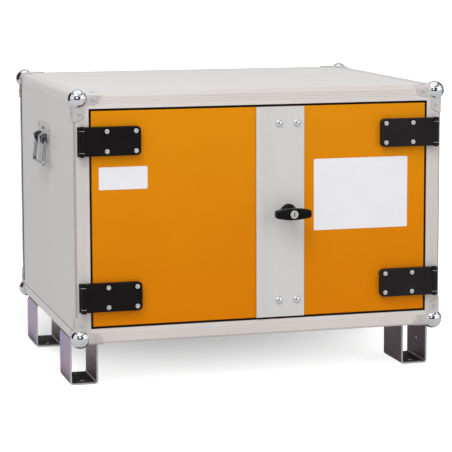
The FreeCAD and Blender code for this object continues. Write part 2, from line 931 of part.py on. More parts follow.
def pinion():
    pressure = math.radians(20.0)
    base = pitch_radius * math.cos(pressure)
    tip = pitch_radius + gear_module
    root = pitch_radius - 1.25 * gear_module
    half_tooth = (math.pi * gear_module / 2.0 - gear_backlash) / (2.0 * pitch_radius)
    half_tooth += involute(base, pitch_radius)
    c = spindle_centre(rod_front)
    flank_steps = 4
    radii = [base + (tip - base) * i / flank_steps for i in range(flank_steps + 1)]

    def at(radius, angle):
        return c + V(radius * math.cos(angle), 0, radius * math.sin(angle))

    points = []
    for tooth in range(gear_teeth):
        axis = 2.0 * math.pi * tooth / gear_teeth
        points.append(at(root, axis - half_tooth))
        points += [at(r, axis - half_tooth + involute(base, r)) for r in radii]
        points += [at(r, axis + half_tooth - involute(base, r)) for r in reversed(radii)]
        points.append(at(root, axis + half_tooth))
    gear = prism(points, V(0, rod_thickness, 0))
    half = spindle_size / 2.0 + 0.05
    socket = box(c.x - half, c.x + half, rod_front - 1, rod_back + 1, c.z - half, c.z + half)
    return gear.cut(socket)


def rack_tooth(centre_z):
    # One rack tooth pointing at the gear, centred at centre_z.
    slope = math.tan(math.radians(20.0))
    half_pitch_line = (math.pi * gear_module / 2.0 - gear_backlash) / 2.0
    line = pitch_radius + gear_mesh_clearance
    tip = line - gear_module
    x = handle_right_of_centre
    half_root = half_pitch_line + (rack_root - line) * slope
    half_tip = half_pitch_line - gear_module * slope
    sunk = rack_root + 0.2
    profile = [(sunk, -half_root), (rack_root, -half_root), (tip, -half_tip), (tip, half_tip),
               (rack_root, half_root), (sunk, half_root)]
    points = [V(x + reach, rod_front, centre_z + rise) for reach, rise in profile]
    return prism(points, V(0, rod_thickness, 0))


def upper_rod():
    # The rack runs beside the gear, then a jog brings the rod over the handle's centre line.
    x = handle_right_of_centre
    z = middle_height
    half = rod_width / 2.0
    tip_z = door_top - rod_tip_below_edge
    c = rod_tip_chamfer
    outline = [
        (rack_root, z - rack_end), (rack_back, z - rack_end), (rack_back, z + jog_end), (half, z + jog_end),
        (half, tip_z - c), (half - c, tip_z), (c - half, tip_z), (-half, tip_z - c), (-half, z + jog_start),
        (rack_root, z + jog_start),
    ]
    shape = prism([V(x + reach, rod_front, height) for reach, height in outline], V(0, rod_thickness, 0))
    pitch = math.pi * gear_module
    first = -int((rack_end - 1.5) / pitch)
    last = int(rack_end_margin / pitch)
    for index in range(first, last + 1):
        shape = shape.fuse(rack_tooth(z + (index - 0.5) * pitch))
    return shape.removeSplitter()


def lower_rod():
    axis = spindle_centre(rod_front)
    return upper_rod().rotate(axis, V(0, 1, 0), 180)


def lock_case():
    x, z = handle_right_of_centre, middle_height
    w, h, t = case_half_width, case_half_height, case_sheet
    shell = box(x - w, x + w, case_front, case_back, z - h, z + h)
    hollow = box(x - w + t, x + w - t, case_front + t, case_back - t, z - h + t, z + h - t)
    half = rod_width / 2.0 + rod_clearance
    slots = box(x - half, x + half, case_front + t, case_back - t, z - h - 1, z + h + 1)
    shape = shell.cut(hollow).cut(slots)
    reach = cylinder(spindle_size, spindle_centre(case_front - 1), spindle_centre(case_back + 1))
    return shape.cut(reach)


def rod_guide(z_centre):
    # A bridge over one rod, with a foot on each side.
    x = handle_right_of_centre
    inner = rod_width / 2.0 + rod_clearance
    t = rod_guide_sheet
    crown = rod_back + 0.3
    foot_back = core_door_back
    far = inner + t + rod_guide_foot
    z0 = z_centre - rod_guide_height / 2.0
    half = [(inner, crown), (inner, foot_back), (far, foot_back), (far, foot_back + t)]
    half += [(inner + t, foot_back + t), (inner + t, crown + t)]
    ring = half + [(-reach, depth) for reach, depth in reversed(half)]
    return prism([V(x + reach, depth, z0) for reach, depth in ring], V(0, 0, rod_guide_height))


def lock_rivets():
    x, z = handle_right_of_centre, middle_height
    rivets = []
    foot_middle = rod_width / 2.0 + rod_clearance + rod_guide_sheet + rod_guide_foot / 2.0 + 0.4
    for side in (-1, 1):
        for row in (-1, 1):
            case_at = V(x + side * (case_half_width - case_rivet_inset), case_back,
                        z + row * (case_half_height - case_rivet_inset))
            guide_at = V(x + side * foot_middle, core_door_back + rod_guide_sheet, z + row * rod_guide_offset)
            for seat in (case_at, guide_at):
                rivets.append(rivet_head(seat, V(0, 1, 0), lock_rivet_radius, lock_rivet_height))
    return rivets


def keep_outer_half(size):
    return size / 2.0 + rod_clearance + keep_wall


def keep_y():
    return (rod_front + rod_back) / 2.0


def keep_block(grow, z0, z1):
    x, y = handle_right_of_centre, keep_y()
    half_x = keep_outer_half(rod_width) + grow
    half_y = keep_outer_half(rod_thickness) + grow
    return box(x - half_x, x + half_x, y - half_y, y + half_y, z0, z1)


def upper_keep():
    body = keep_block(0, opening_top - keep_flange_thickness, opening_top + keep_depth)
    flange = keep_block(keep_flange, opening_top - keep_flange_thickness, opening_top)
    bore = keep_block(-keep_wall, opening_top - 3, opening_top + keep_depth + 1)
    return body.fuse(flange).removeSplitter().cut(bore)


def keep_hole():
    return keep_block(0, opening_top - 1, opening_top + bar_size / 2.0)


# Lifting handles, drawn on the left side

def lift_plate_top():
    return top - lift_plate_top_below_body_top


def lift_pivot():
    x = left + skin_recess - lift_plate_sheet - lift_pivot_from_plate
    return V(x, 0, lift_plate_top() - lift_pivot_below_plate_top)


def lift_knob(seat):
    # A small knob pressed out of the plate above the lugs.
    outward = V(-1, 0, 0)
    knob = Part.makeCylinder(lift_knob_radius, lift_knob_height, seat, outward)
    rim = seat + outward * lift_knob_height

    def at_rim(edge):
        return isinstance(edge.Curve, Part.Circle) and (edge.Curve.Center - rim).Length < 1e-6

    return knob.makeChamfer(lift_knob_chamfer, edges_where(knob, at_rim))


def lift_plate():
    seat = left + skin_recess
    face = seat - lift_plate_sheet
    half = lift_plate_width / 2.0
    z1 = lift_plate_top()
    z0 = z1 - lift_plate_height
    plate = box(face, seat, -half, half, z0, z1)
    through = V(1, 0, 0)
    plate = plate.makeFillet(lift_plate_round, edges_where(plate, lambda e: runs_along(e, through)))

    def on_face(edge):
        return abs(edge.CenterOfMass.x - face) < 1e-6

    shape = plate.makeChamfer(lift_plate_sheet * 0.6, edges_where(plate, on_face))
    pivot = lift_pivot()
    r = lift_lug_radius
    for side in (-1, 1):
        y0 = side * (lift_lug_inner + (0 if side > 0 else lift_lug_width))
        y1 = y0 + lift_lug_width
        lug = cylinder(r, V(pivot.x, y0, pivot.z), V(pivot.x, y1, pivot.z))
        lug = lug.fuse(box(pivot.x, pivot.x + r, y0, y1, pivot.z - r, pivot.z + r))
        lug = lug.common(box(pivot.x - r, face, y0, y1, pivot.z - r, pivot.z + r)).removeSplitter()

        def on_end(edge):
            c = edge.CenterOfMass
            at_end = abs(c.y - y0) < 1e-6 or abs(c.y - y1) < 1e-6
            return at_end and c.x < face - 1e-3

        lug = lug.makeChamfer(lift_lug_chamfer, edges_where(lug, on_end))
        shape = shape.fuse(lug)
    shape = shape.fuse(lift_knob(V(face, 0, pivot.z + lift_knob_above_pivot))).removeSplitter()
    bore_radius = lift_bar_radius + lift_bar_clearance
    return shape.cut(cylinder(bore_radius, V(pivot.x, -half, pivot.z), V(pivot.x, half, pivot.z)))


def lift_rivets():
    face = left + skin_recess - lift_plate_sheet
    inset = lift_rivet_inset
    rivets = []
    for side in (-1, 1):
        for z in (lift_plate_top() - inset, lift_plate_top() - lift_plate_height + inset):
            seat = V(face, side * (lift_plate_width / 2.0 - inset), z)
            rivets.append(rivet_head(seat, V(-1, 0, 0), rivet_head_radius, rivet_head_height))
    return rivets


def lift_bar():
    # A round bar bent into a loop; its two ends point inwards, through the lugs.
    pivot = lift_pivot()
    tilt = math.radians(lift_bar_rest_tilt)
    down = V(-math.sin(tilt), 0, -math.cos(tilt))
    half = lift_bar_width / 2.0 - lift_bar_radius
    bend = lift_bar_bend
    inner = lift_lug_inner + 1.0
    corner = bend * (1.0 - math.sqrt(0.5))

    def at(y, s):
        return pivot + V(0, y, 0) + down * s

    drop = lift_bar_drop
    edges = [
        Part.makeLine(at(inner, 0), at(half - bend, 0)),
        Part.Arc(at(half - bend, 0), at(half - corner, corner), at(half, bend)).toShape(),
        Part.makeLine(at(half, bend), at(half, drop - bend)),
        Part.Arc(at(half, drop - bend), at(half - corner, drop - corner), at(half - bend, drop)).toShape(),
        Part.makeLine(at(half - bend, drop), at(-half + bend, drop)),
        Part.Arc(at(-half + bend, drop), at(-half + corner, drop - corner), at(-half, drop - bend)).toShape(),
        Part.makeLine(at(-half, drop - bend), at(-half, bend)),
        Part.Arc(at(-half, bend), at(-half + corner, corner), at(-half + bend, 0)).toShape(),
        Part.makeLine(at(-half + bend, 0), at(-inner, 0)),
    ]
    path = Part.Wire(edges)
    ring = Part.Wire(Part.makeCircle(lift_bar_radius, at(inner, 0), V(0, 1, 0)))
    return path.makePipeShell([ring], True, False)


# Shelf

def shelf_z():
    return opening_bottom + shelf_top_height


def shelf():
    half = opening_half_width - shelf_side_gap
    y0 = front + shelf_front_setback
    y1 = back - bar_size - shelf_back_gap
    z1 = shelf_z()
    t = shelf_sheet
    shape = box(-half, half, y0, y1, z1 - t, z1)
    inner = opening_half_width - shelf_rail_leg - shelf_rail_clearance
    for edge_y in (y0, y1 - t):
        shape = shape.fuse(box(-inner, inner, edge_y, edge_y + t, z1 - shelf_flange, z1))
    shape = shape.removeSplitter()
    step_x = 2.0 * inner / shelf_slot_columns
    step_y = (y1 - y0) / (shelf_slot_rows + 1)
    for column in range(shelf_slot_columns):
        for row in range(shelf_slot_rows):
            x = -inner + (column + 0.5) * step_x
            y = y0 + (row + 1) * step_y
            a, b = shelf_slot_length / 2.0, shelf_slot_width / 2.0
            shape = shape.cut(box(x - a, x + a, y - b, y + b, z1 - 2 * t, z1 + 1))
    return shape


def shelf_rail():
    x0 = -opening_half_width
    y0 = front + shelf_front_setback
    y1 = back - bar_size - shelf_back_gap
    z1 = shelf_z() - shelf_sheet
    t, a = shelf_rail_sheet, shelf_rail_leg
    points = [V(x0, y0, z1), V(x0 + a, y0, z1), V(x0 + a, y0, z1 - t), V(x0 + t, y0, z1 - t),
              V(x0 + t, y0, z1 - a), V(x0, y0, z1 - a)]
    return prism(points, V(0, y1 - y0, 0))


def save_frame():
    front_post = cut_all(post(False), hinge_stud_holes())
    rear_post = post(True)
    save("post_front_left", front_post)
    save("post_front_right", mirrored_x(front_post))
    save("post_rear_left", rear_post)
    save("post_rear_right", mirrored_x(rear_post))
    upper = cross_rail(False, True).cut(keep_hole())
    lower = cross_rail(False, False).cut(mirrored_z(keep_hole()))
    save("rail_top_front", upper)
    save("rail_bottom_front", lower)
    save("rail_top_rear", cross_rail(True, True))
    save("rail_bottom_rear", cross_rail(True, False))
    low_side = cut_all(side_rail(False), foot_bolt_holes())
    save("rail_top_left", side_rail(True))
    save("rail_top_right", mirrored_x(side_rail(True)))
    save("rail_bottom_left", low_side)
    save("rail_bottom_right", mirrored_x(low_side))
    save("ball_corners", *all_corners(ball_corner()))
    lift = lift_rivets()
    corner = [rivet for seed in corner_rivets() for rivet in all_corners(seed)]
    save("frame_rivets", *(corner + lift + [mirrored_x(r) for r in lift]))


def save_walls():
    bolt_holes = foot_bolt_holes() + [mirrored_x(hole) for hole in foot_bolt_holes()]
    save("skin_left", skin_side())
    save("skin_right", mirrored_x(skin_side()))
    save("skin_top", skin_cap(True))
    save("skin_bottom", cut_all(skin_cap(False), bolt_holes))
    save("skin_back", skin_back())
    save("core_left", core_side())
    save("core_right", mirrored_x(core_side()))
    save("core_top", core_cap(True))
    save("core_bottom", cut_all(core_cap(False), bolt_holes))
    save("core_back", core_back())
    save("opening_seal", opening_seal())
    save("shelf", shelf())
    save("shelf_rails", shelf_rail(), mirrored_x(shelf_rail()))


def save_feet():
    names = ("foot_front_left", "foot_front_right", "foot_rear_left", "foot_rear_right")
    side_holes = foot_side_hole(foot_centre().y) + foot_side_hole(-foot_centre().y)
    for name, shape in zip(names, four_ways(foot())):
        save(name, cut_all(shape, side_holes))
    save("foot_bolts", *[copy for bolt in foot_bolts() for copy in four_ways(bolt)])


def save_hinges():
    leaf = hinge_door_leaf()
    rivets = hinge_rivets()
    left_leaves = [leaf, mirrored_z(leaf)]
    left_rivets = rivets + [mirrored_z(r) for r in rivets]
    save("hinge_leaves_left", *left_leaves)
    save("hinge_leaves_right", *[mirrored_x(s) for s in left_leaves])
    save("hinge_rivets_left", *left_rivets)
    save("hinge_rivets_right", *[mirrored_x(s) for s in left_rivets])
    for name, seed in (("hinge_frame_leaves", hinge_frame_leaf()), ("hinge_pins", hinge_pin())):
        pair = [seed, mirrored_z(seed)]
        save(name, *(pair + [mirrored_x(s) for s in pair]))


def save_doors():
    save("door_skin_left", mirrored_x(door_tray()))
    save("door_core_left", mirrored_x(door_core()))
    save("door_skin_right", right_door_tray())
    save("door_core_right", right_door_core())
    save("meeting_strip", meeting_strip())
    save("strip_seal", strip_seal())
    save("strip_bolts", *strip_bolts())


def save_lock():
    save("handle_rosette", rosette())
    save("turning_handle", turning_handle())
    save("handle_spindle", spindle())
    save("lock_plug", lock_plug())
    save("lock_gear", pinion())
    save("upper_rod", upper_rod())
    save("lower_rod", lower_rod())
    save("lock_case", lock_case())
    guides = [rod_guide(middle_height + side * rod_guide_offset) for side in (-1, 1)]
    save("rod_guides", *guides)
    save("lock_rivets", *lock_rivets())
    save("rod_keeps", upper_keep(), mirrored_z(upper_keep()))


def save_lifting_handles():
    save("lift_plate_left", lift_plate())
    save("lift_plate_right", mirrored_x(lift_plate()))
    save("lift_bar_left", lift_bar())
    save("lift_bar_right", mirrored_x(lift_bar()))


os.makedirs("parts", exist_ok=True)
save_frame()
save_walls()
save_feet()
save_hinges()
save_doors()
save_lock()
save_lifting_handles()
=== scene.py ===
import bmesh
import bpy
import json
import math

from mathutils import Matrix, Vector


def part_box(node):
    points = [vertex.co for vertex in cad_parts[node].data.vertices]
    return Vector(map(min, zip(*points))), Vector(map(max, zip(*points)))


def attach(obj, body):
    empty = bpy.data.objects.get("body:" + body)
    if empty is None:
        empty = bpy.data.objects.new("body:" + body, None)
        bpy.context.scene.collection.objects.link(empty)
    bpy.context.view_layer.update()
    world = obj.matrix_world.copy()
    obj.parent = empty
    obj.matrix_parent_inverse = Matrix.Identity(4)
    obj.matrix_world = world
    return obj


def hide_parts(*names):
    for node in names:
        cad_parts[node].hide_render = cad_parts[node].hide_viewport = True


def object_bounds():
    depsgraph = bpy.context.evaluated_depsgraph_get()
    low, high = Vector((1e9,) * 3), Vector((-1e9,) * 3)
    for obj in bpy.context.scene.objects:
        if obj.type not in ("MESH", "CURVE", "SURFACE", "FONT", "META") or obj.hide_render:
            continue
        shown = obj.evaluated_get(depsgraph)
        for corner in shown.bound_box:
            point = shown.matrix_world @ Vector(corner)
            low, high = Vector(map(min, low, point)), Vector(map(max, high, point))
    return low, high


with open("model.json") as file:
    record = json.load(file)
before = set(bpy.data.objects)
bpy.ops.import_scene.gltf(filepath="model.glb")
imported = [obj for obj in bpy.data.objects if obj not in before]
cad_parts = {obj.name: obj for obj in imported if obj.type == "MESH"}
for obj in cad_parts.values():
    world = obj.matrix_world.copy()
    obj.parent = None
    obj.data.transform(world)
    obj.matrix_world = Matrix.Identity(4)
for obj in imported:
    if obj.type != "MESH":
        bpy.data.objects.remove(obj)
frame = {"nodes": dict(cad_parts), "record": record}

# Two-door battery cabinet, dressed round its CAD nodes.
# Metres. X runs to the right, Y to the back, Z up; the doors face -Y.

cad_low, cad_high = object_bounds()
nodes = frame["nodes"]
body_of = {n: body for body, names in frame["record"]["behaviour"]["bodies"].items() for n in names}
slot_of = {s["node"]: s["material_slot"] for s in frame["record"]["subparts"]}

# Edge softness of the carried-over nodes.
sheet_bevel = 0.0003
bar_bevel = 0.0005
casting_bevel = 0.0008
bevel_angle = math.radians(35.0)
flat_angle = math.radians(0.6)
weld_reach = 0.000005

# Bare label plates on the doors: left edge, right edge, bottom and top.
left_label = (-0.3484, -0.2460, 0.4205, 0.4675)
right_label = (0.114, 0.324, 0.318, 0.470)
label_thickness = 0.0004
label_round = 0.0025
label_round_steps = 4
label_bevel = 0.00016

# The floor is lifted to white for the camera, least of all round a spot behind the cabinet, where the smaller
# lift leaves a painted shadow.
floor_painted_shadow_spot = (-0.05, 0.50, 0.0)
floor_lift_near = 0.28
floor_lift_far = 0.85
floor_lift_start = 0.15
floor_lift_end = 0.9
floor_half_size = 30.0
room_light = 0.70

# Small forms made here.
hinge_head_scale = 0.88
hinge_head_height = 0.0026
pin_head_height = 0.0015
washer_radius = 0.0065
washer_bore = 0.0026
washer_height = 0.0009
washer_from_end = 0.0075
bead_width = 0.0008
bead_height = 0.0003
rear_bead_width = 0.0050
rear_bead_height = 0.0011

# Where one surface passes into another, from the start of the change to its end.
# A ball: distance from its centre.
ball_radius = 0.0210
ball_end = (0.0213, 0.0221)
# A lifting plate: distance out from the side sheet. A foot: distance in from its outer face.
lug_foot = (0.0028, 0.0040)
foot_outer_sheet = (0.0025, 0.0010)
# The doors' coat by its height, passing into painted shade towards the bottom, and the hinges' tone, greyer
# from left to right.
door_painted_shade_fade = (0.12, 0.60)
hinge_greyer_span = (-0.25, 0.25)

# The photo's camera. Turns are in degrees, shifts in shares of the picture's width.
camera_place = (-1.1576, -4.2453, 0.9313)
camera_down = 7.3
camera_roll = 0.1
camera_right = 16.1
camera_lens = 156.34
camera_shift = (-0.0509, -0.0796)

# The sockets of a Mix node that take its two colours and give its result.
mix_first = 6
mix_second = 7
mix_result = 2


# Materials

def colour(red, green, blue):
    """A colour given as it shows on screen, 0 to 255, as the linear values that a shader takes."""
    def linear(value):
        value /= 255.0
        return value / 12.92 if value <= 0.04045 else ((value + 0.055) / 1.055) ** 2.4

    return (linear(red), linear(green), linear(blue), 1.0)


def shaded(base, factor):
    return (base[0] * factor, base[1] * factor, base[2] * factor, 1.0)


white = (1.0, 1.0, 1.0, 1.0)


class Surface:
    """A material with helpers for the few nodes that the surfaces here are made of."""

    def __init__(self, name, roughness, metallic=0.0, specular=0.5):
        self.material = bpy.data.materials.new(name)
        self.material.use_nodes = True
        self.tree = self.material.node_tree
        self.shader = self.tree.nodes["Principled BSDF"]
        self.shader.inputs["Roughness"].default_value = roughness
        self.shader.inputs["Metallic"].default_value = metallic
        self.shader.inputs["Specular IOR Level"].default_value = specular
        self.place = self.tree.nodes.new("ShaderNodeTexCoord").outputs["Object"]

    def link(self, output, target):
        self.tree.links.new(output, target)

    def stretched(self, scale):
        mapping = self.tree.nodes.new("ShaderNodeMapping")
        mapping.inputs["Scale"].default_value = scale
        self.link(self.place, mapping.inputs["Vector"])
        return mapping.outputs["Vector"]

    def noise(self, scale, detail=3.0, place=None, distortion=0.0):
        texture = self.tree.nodes.new("ShaderNodeTexNoise")
        texture.inputs["Scale"].default_value = scale
        texture.inputs["Detail"].default_value = detail
        texture.inputs["Distortion"].default_value = distortion
        self.link(place or self.place, texture.inputs["Vector"])
        return texture.outputs["Fac"]

    def ramp(self, value, stops):
        node = self.tree.nodes.new("ShaderNodeValToRGB")
        elements = node.color_ramp.elements
        while len(elements) < len(stops):
            elements.new(0.5)
        for element, (position, tone) in zip(elements, stops):
            element.position = position
            element.color = tone
        self.link(value, node.inputs["Fac"])
        return node.outputs["Color"]

    def toned(self, value, tone, low, high, start=0.3, end=0.7):
        """One tone, made lighter and darker by a value between start and end."""
        return self.ramp(value, [(start, shaded(tone, low)), (end, shaded(tone, high))])

    def spread(self, value, low, high):
        """The middle of a noise's range, stretched from low to high."""
        node = self.tree.nodes.new("ShaderNodeMapRange")
        node.inputs["From Min"].default_value = 0.3
        node.inputs["From Max"].default_value = 0.7
        node.inputs["To Min"].default_value = low
        node.inputs["To Max"].default_value = high
        self.link(value, node.inputs["Value"])
        return node.outputs["Result"]

    def blend(self, factor, first, second, kind="MIX"):
        node = self.tree.nodes.new("ShaderNodeMix")
        node.data_type = "RGBA"
        node.blend_type = kind
        for socket, value in (("Factor", factor), (mix_first, first), (mix_second, second)):
            if isinstance(value, (float, tuple)):
                node.inputs[socket].default_value = value
            else:
                self.link(value, node.inputs[socket])
        return node.outputs[mix_result]

    def bump(self, height, distance):
        node = self.tree.nodes.new("ShaderNodeBump")
        node.inputs["Distance"].default_value = distance
        self.link(height, node.inputs["Height"])
        self.link(node.outputs["Normal"], self.shader.inputs["Normal"])

    def normal_place(self):
        """The way each face looks, in its object's own axes."""
        return self.tree.nodes.new("ShaderNodeTexCoord").outputs["Normal"]

    def part_of(self, vector, axis):
        split = self.tree.nodes.new("ShaderNodeSeparateXYZ")
        self.link(vector, split.inputs["Vector"])
        return split.outputs[axis]

    def combined(self, operation, first, second):
        node = self.tree.nodes.new("ShaderNodeMath")
        node.operation = operation
        self.link(first, node.inputs[0])
        self.link(second, node.inputs[1])
        return node.outputs["Value"]

    def measured(self, operation, first, second=None):
        """One step of vector arithmetic on places."""
        node = self.tree.nodes.new("ShaderNodeVectorMath")
        node.operation = operation
        self.link(first, node.inputs[0])
        if second is not None:
            node.inputs[1].default_value = second
        return node.outputs["Value" if operation == "LENGTH" else "Vector"]

    def between(self, value, start, end, low=0.0, high=1.0):
        """A smooth step from low to high while the value goes from start to end."""
        node = self.tree.nodes.new("ShaderNodeMapRange")
        node.interpolation_type = "SMOOTHSTEP"
        node.inputs["From Min"].default_value = start
        node.inputs["From Max"].default_value = end
        node.inputs["To Min"].default_value = low
        node.inputs["To Max"].default_value = high
        self.link(value, node.inputs["Value"])
        return node.outputs["Result"]

    def paint(self, output):
        self.link(output, self.shader.inputs["Base Color"])

    def roughen(self, value, low, high):
        self.link(self.spread(value, low, high), self.shader.inputs["Roughness"])


def coated(name, tone, grain=1400.0, depth=0.00003, specular=0.3, foot=None):
    """A powder coat with a fine grain and slow, faint changes of tone, passing into a foot tone if given,
    which is painted shade towards the bottom.
    """
    surface = Surface(name, 0.38, specular=specular)
    slow = surface.noise(7.0, 2.0)
    fine = surface.noise(grain, 2.0)
    broad = surface.toned(slow, tone, 0.985, 1.015)
    # The foot tone is painted shade, darker towards the bottom.
    if foot:
        low = surface.toned(slow, foot, 0.985, 1.015)
        height = surface.between(surface.part_of(surface.place, "Z"), *door_painted_shade_fade)
        broad = surface.blend(height, low, broad)
    speckle = surface.toned(fine, white, 0.965, 1.0, 0.35, 0.65)
    surface.paint(surface.blend(1.0, broad, speckle, "MULTIPLY"))
    surface.roughen(slow, 0.38, 0.50)
    surface.bump(fine, depth)
    return surface.material


def frame_material(name, tone, round_painted_shade=1.0, upper_painted_shade=1.0):
    """Light satin bars with a faint drawn grain; upright rounds and upper faces may be darkened by painted
    shade.
    """
    surface = Surface(name, 0.42, 0.05, specular=0.15)
    slow = surface.noise(6.0, 2.0)
    grain = surface.noise(900.0, 2.0)
    flat = surface.toned(slow, tone, 0.965, 1.03)
    # Painted shade: upright rounds and upper faces are multiplied darker.
    facing = surface.measured("ABSOLUTE", surface.normal_place())
    diagonal = surface.combined("MINIMUM", surface.part_of(facing, "X"), surface.part_of(facing, "Y"))
    rounds = surface.toned(diagonal, white, 1.0, round_painted_shade, 0.15, 0.50)
    upward = surface.part_of(surface.normal_place(), "Z")
    top = surface.toned(upward, white, 1.0, upper_painted_shade, 0.15, 0.60)
    surface.paint(surface.blend(1.0, surface.blend(1.0, flat, rounds, "MULTIPLY"), top, "MULTIPLY"))
    surface.roughen(grain, 0.36, 0.48)
    surface.bump(grain, 0.00002)
    return surface.material


chrome_tone = colour(219, 221, 225)


def chrome_material():
    surface = Surface("chrome", 0.06, 1.0)
    wipe = surface.noise(60.0, 3.0, distortion=0.6)
    surface.paint(surface.toned(wipe, chrome_tone, 0.94, 1.0, 0.35, 0.65))
    surface.roughen(wipe, 0.04, 0.10)
    return surface.material


def corner_material():
    """Bright balls that pass into satin where the leaves leave them."""
    surface = Surface("corner_chrome", 0.06, 1.0)
    low, high = box_of("ball_corners")
    middle = (low + high) / 2.0
    inner = (high - low) / 2.0 - Vector((ball_radius, ball_radius, ball_radius))
    mirrored = surface.measured("ABSOLUTE", surface.measured("SUBTRACT", surface.place, tuple(middle)))
    reach = surface.measured("LENGTH", surface.measured("SUBTRACT", mirrored, tuple(inner)))
    on_leaf = surface.between(reach, *ball_end)
    wipe = surface.noise(60.0, 3.0, distortion=0.6)
    grain = surface.noise(500.0, 3.0)
    bright = surface.toned(wipe, chrome_tone, 0.94, 1.0, 0.35, 0.65)
    satin = surface.toned(grain, colour(203, 199, 196), 0.93, 1.04)
    surface.paint(surface.blend(on_leaf, bright, satin))
    surface.link(surface.between(on_leaf, 0.0, 1.0, 0.06, 0.46), surface.shader.inputs["Roughness"])
    surface.link(surface.between(on_leaf, 0.0, 1.0, 1.0, 0.45), surface.shader.inputs["Metallic"])
    return surface.material


def painted_reflections(surface, shoulder, crown, front, flank=white):
    """Bright plating with painted dark reflections round the upper side and along the front of its rounds."""
    above = surface.ramp(surface.part_of(surface.normal_place(), "Z"), [
        (0.05, colour(226, 228, 233)), (0.25, shoulder), (0.75, crown), (0.95, colour(140, 142, 146)),
    ])
    sideways = surface.part_of(surface.measured("ABSOLUTE", surface.normal_place()), "Y")
    along = surface.ramp(sideways, [(0.30, white), (0.50, front), (0.72, front), (0.90, flank)])
    return surface.blend(1.0, above, along, "MULTIPLY")


def lift_bar_material():
    surface = Surface("lift_bar_chrome_painted_reflections", 0.10, 1.0)
    wipe = surface.noise(60.0, 3.0, distortion=0.6)
    # The bar's colour is painted dark reflection over bright plating.
    surface.paint(painted_reflections(surface, colour(112, 116, 121), colour(86, 89, 93), colour(178, 180, 186)))
    surface.roughen(wipe, 0.08, 0.14)
    return surface.material


def lift_plate_material():
    """A satin plate with bright lugs standing out of it; the lugs' colour is painted dark reflection."""
    surface = Surface("lift_plate_steel_painted_reflections", 0.4, 0.15)
    grain = surface.noise(500.0, 3.0)
    outward = surface.part_of(surface.measured("ABSOLUTE", surface.place), "X")
    side_face = box_of("skin_right")[1].x
    on_lug = surface.between(outward, side_face + lug_foot[0], side_face + lug_foot[1])
    satin = surface.toned(grain, colour(197, 195, 193), 0.94, 1.03)
    # The lug colour is painted dark reflection.
    lug = painted_reflections(surface, colour(32, 35, 38), colour(18, 20, 22), colour(92, 94, 101), colour(140, 143, 150))
    surface.paint(surface.blend(on_lug, satin, lug))
    surface.link(surface.between(on_lug, 0.0, 1.0, 0.44, 0.09), surface.shader.inputs["Roughness"])
    surface.link(surface.between(on_lug, 0.0, 1.0, 0.15, 1.0), surface.shader.inputs["Metallic"])
    return surface.material


def plug_material():
    surface = Surface("plug_satin", 0.36, 0.6)
    grain = surface.noise(500.0, 3.0)
    surface.paint(surface.toned(grain, colour(200, 199, 194), 0.94, 1.03))
    surface.roughen(grain, 0.30, 0.42)
    surface.bump(grain, 0.00002)
    return surface.material


def rivet_material():
    surface = Surface("light_steel", 0.34, 0.85)
    wipe = surface.noise(700.0, 3.0)
    surface.paint(surface.toned(wipe, colour(202, 202, 201), 0.9, 1.0, 0.35, 0.65))
    surface.roughen(wipe, 0.26, 0.40)
    surface.bump(wipe, 0.00002)
    return surface.material


def zinc_material():
    """Zinc plate with the faint rainbow of its passivation, darkened inside on its upward faces by dust and
    painted shade, and bare at the cut ends.
    """
    surface = Surface("zinc_rainbow", 0.34, 0.85)
    patches = surface.noise(9.0, 3.0, place=surface.stretched((1.0, 1.0, 0.45)), distortion=0.9)
    grain = surface.noise(420.0, 3.0, place=surface.stretched((1.0, 1.0, 0.25)))
    stains = surface.noise(90.0, 4.0, distortion=0.5)
    outside = surface.ramp(patches, [
        (0.30, colour(182, 154, 196)), (0.42, colour(168, 155, 203)), (0.52, colour(196, 162, 184)),
        (0.60, colour(176, 163, 198)), (0.72, colour(184, 164, 168)),
    ])
    inside = surface.ramp(patches, [
        (0.30, colour(184, 162, 172)), (0.42, colour(176, 162, 176)), (0.52, colour(190, 166, 170)),
        (0.60, colour(182, 168, 172)), (0.72, colour(186, 170, 160)),
    ])
    outward = surface.part_of(surface.measured("ABSOLUTE", surface.place), "X")
    foot_face = box_of("foot_front_right")[1].x
    on_outside = surface.between(outward, foot_face - foot_outer_sheet[0], foot_face - foot_outer_sheet[1])
    tint = surface.blend(on_outside, inside, outside)
    wear = surface.toned(grain, white, 0.86, 1.0)
    plated = surface.blend(1.0, tint, wear, "MULTIPLY")
    # Upward faces darkened by dust and painted shade.
    dust_and_painted_shade = surface.ramp(stains, [(0.40, colour(18, 18, 20)), (0.60, colour(72, 73, 76))])
    upward = surface.between(surface.part_of(surface.normal_place(), "Z"), 0.6, 0.95)
    greyed = surface.blend(upward, plated, dust_and_painted_shade)
    sideways = surface.measured("ABSOLUTE", surface.normal_place())
    cut = surface.between(surface.part_of(sideways, "Y"), 0.8, 0.97)
    bare = surface.ramp(grain, [(0.3, colour(176, 176, 177)), (0.7, colour(204, 204, 204))])
    surface.paint(surface.blend(cut, greyed, bare))
    dull = surface.combined("MAXIMUM", cut, upward)
    surface.link(surface.between(dull, 0.0, 1.0, 0.85, 0.05), surface.shader.inputs["Metallic"])
    plate_rough = surface.spread(grain, 0.26, 0.46)
    dull_rough = surface.between(dull, 0.0, 1.0, 0.0, 0.85)
    surface.link(surface.combined("MAXIMUM", plate_rough, dull_rough), surface.shader.inputs["Roughness"])
    surface.bump(grain, 0.00003)
    return surface.material


